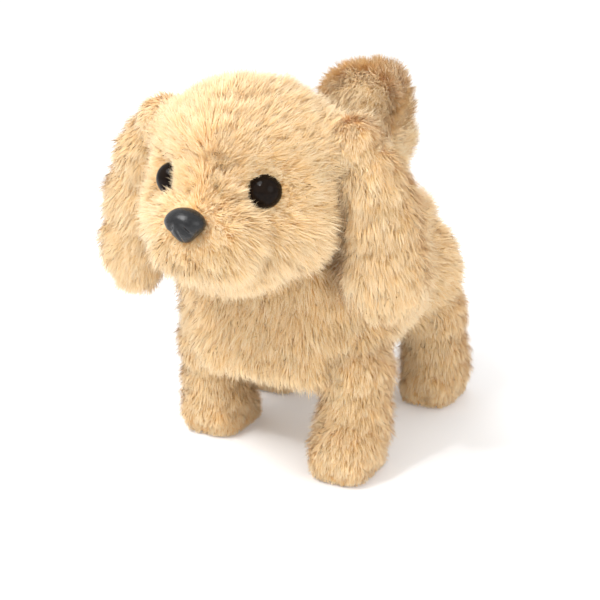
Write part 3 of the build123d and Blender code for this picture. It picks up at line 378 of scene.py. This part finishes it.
def grow(name, skin, hairs, comb, length, seed, lean=0.92, lock_size=2.0, width=0.27, tint=0.5, keep=None,
         wild=0.36, lock_wild=0.24, gather=0.24):
    """One patch of pile.

    comb and length each take an array of roots in metres, and length answers in millimetres. lean is how far
    the hairs lie over, in radians. wild and lock_wild scatter single hairs and whole locks, and gather draws
    the tips of a lock together.
    """
    rng = np.random.default_rng(seed)
    root, outward, area = skin_samples(skin, hairs, rng, keep)
    locks = max(8, int(area / (lock_size * MM) ** 2))
    chiefs = rng.choice(hairs, size=min(locks, hairs), replace=False)
    tree = KDTree(len(chiefs))
    for index, chief in enumerate(chiefs):
        tree.insert(root[chief], index)
    tree.balance()
    lock = np.array([tree.find(point)[1] for point in root])
    way = comb(root)
    way = way - outward * (way * outward).sum(axis=1, keepdims=True)
    way = unit(way)
    lock_turn = rng.normal(0, 1, (len(chiefs), 3))[lock]
    own_turn = rng.normal(0, 1, (hairs, 3))
    combed = outward * math.cos(lean) + way * math.sin(lean)
    direction = unit(combed + lock_turn * lock_wild + own_turn * wild)
    reach = length(root) * MM * rng.uniform(0.72, 1.12, hairs)
    reach = reach * (1 + 0.12 * rng.normal(0, 1, len(chiefs)))[lock]
    reach = np.maximum(reach, SHORTEST)[:, None]
    droop = unit(direction + way * 0.55 - outward * 0.10 + own_turn * 0.12)
    elbow = root + direction * reach * 0.5
    tip = elbow + droop * reach * 0.5
    chief = chiefs[lock]
    offset = root - root[chief]
    near = np.exp(-(np.linalg.norm(offset, axis=1, keepdims=True) / (lock_size * MM * 1.4)) ** 2)
    tip = tip + (tip[chief] + offset * 0.30 - tip) * gather * near
    elbow = elbow + (elbow[chief] + offset * 0.75 - elbow) * gather * 0.5 * near
    lift = ((elbow - root) * outward).sum(axis=1, keepdims=True)
    elbow = elbow + outward * np.maximum(ELBOW_LIFT - lift, 0)
    lift = ((tip - root) * outward).sum(axis=1, keepdims=True)
    tip = tip + outward * np.maximum(TIP_LIFT - lift, 0)
    long = np.linalg.norm(tip - root, axis=1, keepdims=True)
    across = unit(np.cross(tip - root, outward) + own_turn[:, ::-1] * 0.35 * long)
    half = across * width * MM / 2
    elbow_half = half * 0.9
    points = np.stack([root - half, root + half, elbow - elbow_half, elbow + elbow_half, tip], axis=1)
    points = points.reshape(-1, 3)
    corners = points.reshape(hairs, 5, 3)
    local = np.tile(np.array([0, 1, 2, 1, 3, 2, 2, 3, 4]), (hairs, 1))
    for first in (0, 3, 6):
        p, q, r = (corners[:, local[0, first + k]] for k in range(3))
        flip = (np.cross(q - p, r - p) * outward).sum(axis=1) < 0
        local[flip, first], local[flip, first + 1] = local[flip, first + 1], local[flip, first].copy()
    corner = (np.arange(hairs)[:, None] * 5 + local).ravel()
    mesh = bpy.data.meshes.new(name)
    mesh.vertices.add(hairs * 5)
    mesh.vertices.foreach_set("co", points.ravel())
    mesh.loops.add(hairs * 9)
    mesh.loops.foreach_set("vertex_index", corner.astype(np.int32))
    mesh.polygons.add(hairs * 3)
    mesh.polygons.foreach_set("loop_start", (np.arange(hairs * 3) * 3).astype(np.int32))
    mesh.polygons.foreach_set("use_smooth", np.ones(hairs * 3, dtype=bool))
    tone = tint + 0.16 * rng.normal(0, 1, hairs)
    tone = tone + 0.13 * rng.normal(0, 1, len(chiefs))[lock]
    tone = np.clip(tone, MAP_EDGE, 1 - MAP_EDGE)
    # rise puts each hair's root low and its tip high on the map, where the ramp paints shade at the root and
    # light at the tip
    rise = np.array([MAP_EDGE, MAP_EDGE, 0.5, 0.5, 1 - MAP_EDGE])[local]
    edge = np.array([-0.012, 0.012, -0.012, 0.012, 0.0])[local]
    spread = np.stack([tone[:, None] + edge, rise], axis=2)
    layer = mesh.uv_layers.new(name=HAIR_MAP)
    layer.data.foreach_set("uv", spread.ravel())
    mesh.update()
    mesh.validate()
    soft = unit(outward * 0.86 + own_turn * 0.10 + lock_turn * 0.16)
    mesh.normals_split_custom_set_from_vertices(np.repeat(soft, 5, axis=0).tolist())
    patch = bpy.data.objects.new(name, mesh)
    bpy.context.collection.objects.link(patch)
    paint(patch, pile)
    print(name, hairs, "hairs", len(chiefs), "locks")
    return patch


# %% [markdown]
# ## Head
#
# The head is a broad ball with full cheeks and a short round muzzle. The skin dips where each eye and the
# nose is pulled tight by its washer. It could be sculpted by hand, but a few balls stay easy to move, and
# the pile hides where they meet. The hairs are combed away from the nose, and are short beside the nose and
# the eyes.

# %% Head cover
EYE_X, EYE_Y, EYE_Z = 22.4, -78.0, 143.5        # the middle of each eye, as in the CAD model
HEAD_Y, HEAD_Z = -48.0, 139.0                   # the middle of the head
NOSE = place(0, -104.5, 133)
EYES = [place(side * EYE_X, EYE_Y, EYE_Z) for side in (1, -1)]
EYE_DIP, NOSE_DIP = 2.4 * MM, 2.2 * MM
CROWN_Z = 140 * MM      # height that parts the crown's pile from the neck's
FACE_Y = -62 * MM       # the face's pile lies in front of this

head_skin = stuffed("head_cover", [
    ((0, HEAD_Y, HEAD_Z), (43, 40.5, 38.5)),
    ((0, -50, 152), (38, 35, 29)),
    ((23, -62, 125), (19, 17, 16)),
    ((-23, -62, 125), (19, 17, 16)),
    ((0, -85, 125.5), (23, 19, 16)),
    ((0, -62, 160), (27, 23, 17)),
    ((9, -88, 121), (12, 12, 11)),
    ((-9, -88, 121), (12, 12, 11)),
    ((0, -76, 137), (13, 17, 12)),
    ((0, -68, 112), (22, 18, 12)),
    ((34, -46, 155), (13, 15, 13)),
    ((-34, -46, 155), (13, 15, 13)),
])
points = coordinates(head_skin.data)
for side, eye in zip((1, -1), EYES):
    gaze = Vector((side * EYE_X, EYE_Y - HEAD_Y, EYE_Z - HEAD_Z)).normalized()
    dip = EYE_DIP * (1 - smoothstep(6 * MM, 15 * MM, distance_to(points, eye)))
    points -= np.array(gaze) * dip[:, None]
points[:, 1] += NOSE_DIP * (1 - smoothstep(4 * MM, 12 * MM, distance_to(points, NOSE)))
move_points(head_skin, points)
cover(head_skin, "head", "head_plush")


def eye_distance(points):
    return np.minimum(distance_to(points, EYES[0]), distance_to(points, EYES[1]))


def near_face(points):
    """Low beside an eye, 0 beside the nose and 1 well away from them."""
    return np.minimum(0.2 + 0.8 * smoothstep(7.0 * MM, 17 * MM, eye_distance(points)),
                      smoothstep(7.5 * MM, 24 * MM, distance_to(points, NOSE)))


def head_comb(points):
    from_nose = points - np.array(NOSE) - np.array([0, 0.006, 0.004])
    way = unit(from_nose)
    low = smoothstep(0.140, 0.105, points[:, 2])[:, None]
    way = way + low * np.array([0, 0.1, -0.9])
    way[:, 0] += 0.35 * np.sign(points[:, 0]) * (1 - low[:, 0])
    return way


def head_length(points):
    shortest = 2.6
    longest = 9.5 + 2.5 * smoothstep(0.150, 0.110, points[:, 2])
    return shortest + (longest - shortest) * near_face(points)


def not_in_face(points):
    """1 where hair may grow, 0 under an eye or the nose."""
    nose_distance = np.linalg.norm((points - np.array(NOSE)) * np.array([1, 0.6, 1]), axis=1)
    return ((eye_distance(points) > 6.3 * MM) & (nose_distance > 6.0 * MM)).astype(float)


def head_face(points):
    return not_in_face(points) * (points[:, 1] < FACE_Y)


def head_rest(points):
    return (points[:, 1] >= FACE_Y).astype(float)


# %% Head pile
patches = [("head", grow("head_pile_face", head_skin, 61000, head_comb, head_length, 11, keep=head_face)),
           ("head", grow("head_pile_crown", head_skin, 61000, head_comb, head_length, 12,
                         keep=lambda p: head_rest(p) * (p[:, 2] > CROWN_Z))),
           ("head", grow("head_pile_neck", head_skin, 46000, head_comb, head_length, 13,
                         keep=lambda p: head_rest(p) * (p[:, 2] <= CROWN_Z)))]

# %% [markdown]
# ## Body
#
# The body cover wraps the belly casing, so its core is a cushion a little larger than the casing, with a
# fuller ball for the rump and another for the chest. Fuller shoulders and thighs run out over the legs'
# upper ends and over the rods that join them. A cloth simulation could inflate such a cover, but the casing
# fills it already and leaves it little freedom, so melted balls give the same shape at once.

# %% Body cover
body_skin = stuffed("body_cover", [
    ((0, 34, 84), (43, 61, 38)),
    ((0, -14, 80), (39, 34, 38)),
    ((0, -30, 104), (27, 24, 22)),
    ((32, -19, 68), (19, 20, 27)),
    ((-32, -19, 68), (19, 20, 27)),
    ((31, 61, 68), (19, 25, 28)),
    ((-31, 61, 68), (19, 25, 28)),
    ((33, 20, 76), (15, 46, 22)),
    ((31, -24, 87), (19, 19, 19)),
    ((-31, -24, 87), (19, 19, 19)),
    ((-33, 20, 76), (15, 46, 22)),
], pads=[((0, 15, 77), (70, 124, 66), 12)])
cover(body_skin, "body", "body_plush")


def body_comb(points):
    """Down over the chest, down and backwards behind it, and a little outwards all over."""
    back = smoothstep(-0.03, 0.03, points[:, 1])[:, None]
    outwards = points * np.array([8.0, 0.0, 0.0])
    return np.array([0.0, 0.05, -1.0]) * (1 - back) + np.array([0.0, 0.75, -0.65]) * back + outwards


def even(millimetres):
    return lambda points: np.full(len(points), float(millimetres))


patches += [("body", grow("body_pile_chest", body_skin, 56000, body_comb, even(10), 21,
                          keep=lambda p: (p[:, 1] < 0.0) * 1.0)),
            ("body", grow("body_pile_left", body_skin, 56000, body_comb, even(10), 22,
                          keep=lambda p: (p[:, 1] >= 0.0) * (p[:, 0] >= 0.0) * 1.0)),
            ("body", grow("body_pile_right", body_skin, 56000, body_comb, even(10), 23,
                          keep=lambda p: (p[:, 1] >= 0.0) * (p[:, 0] < 0.0) * 1.0))]

# %% [markdown]
# ## Legs
#
# A leg cover is a plump sleeve over a stiff leg, ending in a wide flat-bottomed paw that hides the rubber
# sole. It rides on its own leg. Its upper end stays buried in the body's pile, so the stride never opens a
# gap. The pile is shortest at the floor, where it is cut to let the foot slide.

# %% Legs
FRONT_HIP_Y, REAR_HIP_Y, HIP_Z = -21.0, 61.0, 72.0
COVER_X, PAW_X = 41.0, 39.5     # the middles of a leg's cover and of its paw, from the centre plane
PAW_BOTTOM = 1.6 * MM           # the cover's flat underside
LOWEST_HAIR = 0.3 * MM          # no hair hangs lower
legs = (("left_front", 1, FRONT_HIP_Y), ("right_front", -1, FRONT_HIP_Y),
        ("left_rear", 1, REAR_HIP_Y), ("right_rear", -1, REAR_HIP_Y))


def leg_comb(points):
    """Down the leg, and outwards from its middle near the floor."""
    spread = (points - points.mean(axis=0)) * 12 * smoothstep(0.03, 0.0, points[:, 2])[:, None]
    return np.array([0, -0.15, -1.0]) + spread


def leg_middle(foot_y, hip_y, z):
    """The leg's middle at a height, on the line from its sole to its hip."""
    return foot_y + (hip_y - foot_y) * z / HIP_Z


for number, (name, side, hip_y) in enumerate(legs):
    low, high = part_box(f"{name}_sole")
    foot_y = (low[1] + high[1]) / 2 / MM
    x = side * COVER_X
    leg_skin = stuffed(f"{name}_leg_cover", [
        ((x, foot_y - 2, 15.5), (15, 18, 14)),
        ((x, leg_middle(foot_y, hip_y, 22), 23), (14.5, 16, 15)),
        ((x, leg_middle(foot_y, hip_y, 30), 30), (14, 15, 18)),
        ((x - side, leg_middle(foot_y, hip_y, 48), 48), (15, 16.5, 18)),
        ((x - 6, foot_y - 13, 10), (6.5, 7, 8)),
        ((x + 6, foot_y - 13, 10), (6.5, 7, 8)),
    ], voxel=1.8, relax=4, pads=[((side * PAW_X, foot_y, 5), (26, 35, 20), 8)])
    points = coordinates(leg_skin.data)
    points[:, 2] = np.maximum(points[:, 2], PAW_BOTTOM)
    move_points(leg_skin, points)
    body = f"{name}_leg"
    cover(leg_skin, body, f"{name}_leg_plush")
    patch = grow(f"{name}_leg_pile", leg_skin, 28000, leg_comb,
                 lambda p: 3.0 + 5.0 * smoothstep(0.001, 0.022, p[:, 2]), 31 + number, lean=0.9,
                 keep=lambda p: (p[:, 2] > 0.0019) * 1.0)
    points = coordinates(patch.data)
    points[:, 2] = np.maximum(points[:, 2], LOWEST_HAIR)
    move_points(patch, points)
    patches.append((body, patch))

# %% [markdown]
# ## Ears
#
# Each ear is a flat pouch with hardly any stuffing, sewn to the side of the head and hanging free. The left
# one hangs close. The right one stands out from the cheek and hangs lower, as handled toys do. A sheet bent
# by simulation would also do, but both faces carry pile, so only the outline and the lean can be seen.

# %% Ears
for number, (name, side) in enumerate((("left_ear", 1), ("right_ear", -1))):
    flare, drop = (0.0, 0.0) if side > 0 else (7.5, 7.0)
    ear_skin = stuffed(f"{name}_cover", [
        ((side * 46, -45, 159), (12, 11, 11), (0, -side * 35, 0)),
        ((side * (56 + flare / 3), -44, 144), (13, 9, 18), (0, -side * 22, side * 20)),
        ((side * (60 + flare * 0.8), -43, 123 - drop / 2), (15, 8, 24), (0, -side * 12, side * 20)),
        ((side * (61 + flare), -43, 106 - drop), (16, 8.5, 19), (0, side * 4, side * 20)),
    ], voxel=1.8, relax=6)
    cover(ear_skin, name, name)
    patches.append((name, grow(f"{name}_pile", ear_skin, 44000,
                               lambda p: np.array([0.30 * side, -0.05, -1.0]) + np.zeros_like(p),
                               lambda p: 10.5 - 4 * smoothstep(0.140, 0.160, p[:, 2]), 41 + number, lean=1.0,
                               lock_wild=0.28, gather=0.32)))

# %% [markdown]
# ## Tail
#
# The tail rises from the rump and curls forward over the back into a full puff. Balls along the curl melt
# into a thick hook. A bent tube would do for the hook, but not for its swelling end. The pile is combed
# round the curl and outward.

# %% Tail
tail_skin = stuffed("tail_cover", [
    ((0, 84, 116), (9.5, 9.5, 16)), ((0, 88, 112), (8, 8, 12)),
    ((0, 97, 129), (9, 9.5, 12)), ((0, 92, 147), (10, 10, 10)),
    ((0, 77, 158), (14, 13, 11)), ((0, 60, 156), (16, 15, 15)), ((0, 55, 146), (15, 12, 12)),
    ((0, 78, 142), (11, 14, 14)),
])
cover(tail_skin, "tail", "tail_plush")


def tail_comb(points):
    centre = np.array([0, 0.072, 0.138])
    spoke = points - centre
    return np.cross(spoke, np.array([-1.0, 0, 0])) + spoke * 0.5


patches.append(("tail", grow("tail_pile", tail_skin, 44000, tail_comb, even(10), 51, lean=0.7, tint=0.6)))
for body, patch in patches:
    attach(patch, body)

# %% [markdown]
# ## Eyes
#
# Safety eyes are black domes on stems, made by the CAD model already. They only need their finish: nearly
# black, polished, with one small bright reflection.

# %% Eyes
eye_gloss = shade("eye_gloss", [(0.3, (0.006, 0.004, 0.003)), (0.8, (0.014, 0.008, 0.005))], 400,
                  roughness=0.1, specular=0.07)
for name in ("left_eye", "right_eye"):
    paint(frame["nodes"][name], eye_gloss)

# %% [markdown]
# ## Nose
#
# The nose is a moulded button: broad and round above, drawn in to a blunt point below, with two slanting
# nostrils. It could be carved from a block, but a squashed ball, dented in two places, gives the soft
# moulded edge.

# %% Nose
NOSTRIL_X, NOSTRIL_Z = 3.6, -1.2        # a nostril's place from the nose's middle, in millimetres
SLANT_COS, SLANT_SIN = 0.8, 0.6         # how the nostrils slant

nose = ball((0, 0, 0), (9.4, 7.0, 8.0))
nose.name = "nose_button"
melt(nose, 0.35)
points = coordinates(nose.data) / MM
taper = 1 - 0.42 * smoothstep(1.5, -8.0, points[:, 2])
points[:, 0] *= taper
points[:, 1] *= 1 - 0.25 * smoothstep(0.0, -8.0, points[:, 2])
points[:, 2] = np.where(points[:, 2] > 0, points[:, 2] * 0.86, points[:, 2])
for side in (-1, 1):
    out = points[:, 0] - side * NOSTRIL_X
    up = points[:, 2] - NOSTRIL_Z
    across = out * SLANT_COS + up * SLANT_SIN * side
    along = -out * SLANT_SIN * side + up * SLANT_COS
    dent = np.exp(-(across / 1.0) ** 2 - (along / 2.6) ** 2) * (points[:, 1] < 0)
    points[:, 1] += 1.5 * dent
groove = np.exp(-(points[:, 0] / 0.6) ** 2) * smoothstep(0.5, -3.0, points[:, 2]) * (points[:, 1] < 0)
points[:, 1] += 0.7 * groove
move_points(nose, points * MM + np.array(NOSE))
soften(nose, 0.5, 3)
nose_gloss = shade("nose_gloss", [(0.3, (0.010, 0.010, 0.011)), (0.8, (0.020, 0.020, 0.021))], 700, bump=0.25,
                   roughness=0.26, specular=0.30, coat=0.06, coat_roughness=0.12)
paint(nose, nose_gloss)
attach(nose, "head")
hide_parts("nose")

# %% [markdown]
# ## Finishes for the parts inside
#
# Most of the mechanism is hidden by the pile, but the belly door, the switch and the soles are seen from
# below. Each finish below has its own grain and gloss, and is painted on every CAD node whose record row
# names it.

# %% Inner finishes
inner = {
    "casing": shade("casing_moulding", [(0.3, (0.78, 0.78, 0.76)), (0.7, (0.84, 0.84, 0.82))], 120, bump=0.25,
                    roughness=0.42, specular=0.45),
    "frame": shade("frame_moulding", [(0.3, (0.60, 0.60, 0.58)), (0.7, (0.68, 0.68, 0.66))], 150, bump=0.3,
                   roughness=0.5, specular=0.4),
    "gear": shade("gear_acetal", [(0.3, (0.80, 0.79, 0.72)), (0.7, (0.87, 0.86, 0.80))], 250, bump=0.1,
                  roughness=0.35, specular=0.5),
    "steel": shade("plated_steel", [(0.3, (0.52, 0.52, 0.53)), (0.7, (0.64, 0.64, 0.65))], 500, bump=0.15,
                   roughness=0.3, metallic=1.0),
    "motor": shade("motor_can_steel", [(0.3, (0.42, 0.42, 0.43)), (0.7, (0.55, 0.55, 0.56))], 350, bump=0.2,
                   roughness=0.38, metallic=1.0),
    "brass": shade("turned_brass", [(0.3, (0.62, 0.44, 0.18)), (0.7, (0.74, 0.56, 0.26))], 500, bump=0.15,
                   roughness=0.3, metallic=1.0),
    "contact": shade("nickel_contact", [(0.3, (0.58, 0.57, 0.54)), (0.7, (0.70, 0.69, 0.66))], 500, bump=0.15,
                     roughness=0.32, metallic=1.0),
    "cell": shade("cell_sleeve", [(0.3, (0.05, 0.16, 0.09)), (0.7, (0.08, 0.22, 0.12))], 200, bump=0.1,
                  roughness=0.3, specular=0.5),
    "board": shade("board_laminate", [(0.3, (0.03, 0.13, 0.06)), (0.7, (0.05, 0.19, 0.09))], 400, bump=0.2,
                   roughness=0.4, specular=0.5),
    "speaker": shade("speaker_steel", [(0.3, (0.20, 0.20, 0.21)), (0.7, (0.30, 0.30, 0.31))], 400, bump=0.2,
                     roughness=0.4, metallic=0.8),
    "cone": shade("speaker_paper", [(0.3, (0.06, 0.06, 0.06)), (0.7, (0.10, 0.10, 0.10))], 900, bump=0.5,
                  roughness=0.85, specular=0.2),
    "wire": shade("wire_sleeve", [(0.3, (0.50, 0.03, 0.02)), (0.7, (0.60, 0.05, 0.03))], 400, bump=0.1,
                  roughness=0.4, specular=0.5),
    "sole": shade("sole_rubber", [(0.3, (0.10, 0.10, 0.10)), (0.7, (0.15, 0.15, 0.148))], 500, bump=0.5,
                  roughness=0.75, specular=0.25),
    "knob": shade("knob_moulding", [(0.3, (0.03, 0.03, 0.03)), (0.7, (0.05, 0.05, 0.05))], 500, bump=0.3,
                  roughness=0.5, specular=0.4),
}
for row in frame["record"]["subparts"]:
    if row["material_slot"] in inner:
        paint(frame["nodes"][row["node"]], inner[row["material_slot"]])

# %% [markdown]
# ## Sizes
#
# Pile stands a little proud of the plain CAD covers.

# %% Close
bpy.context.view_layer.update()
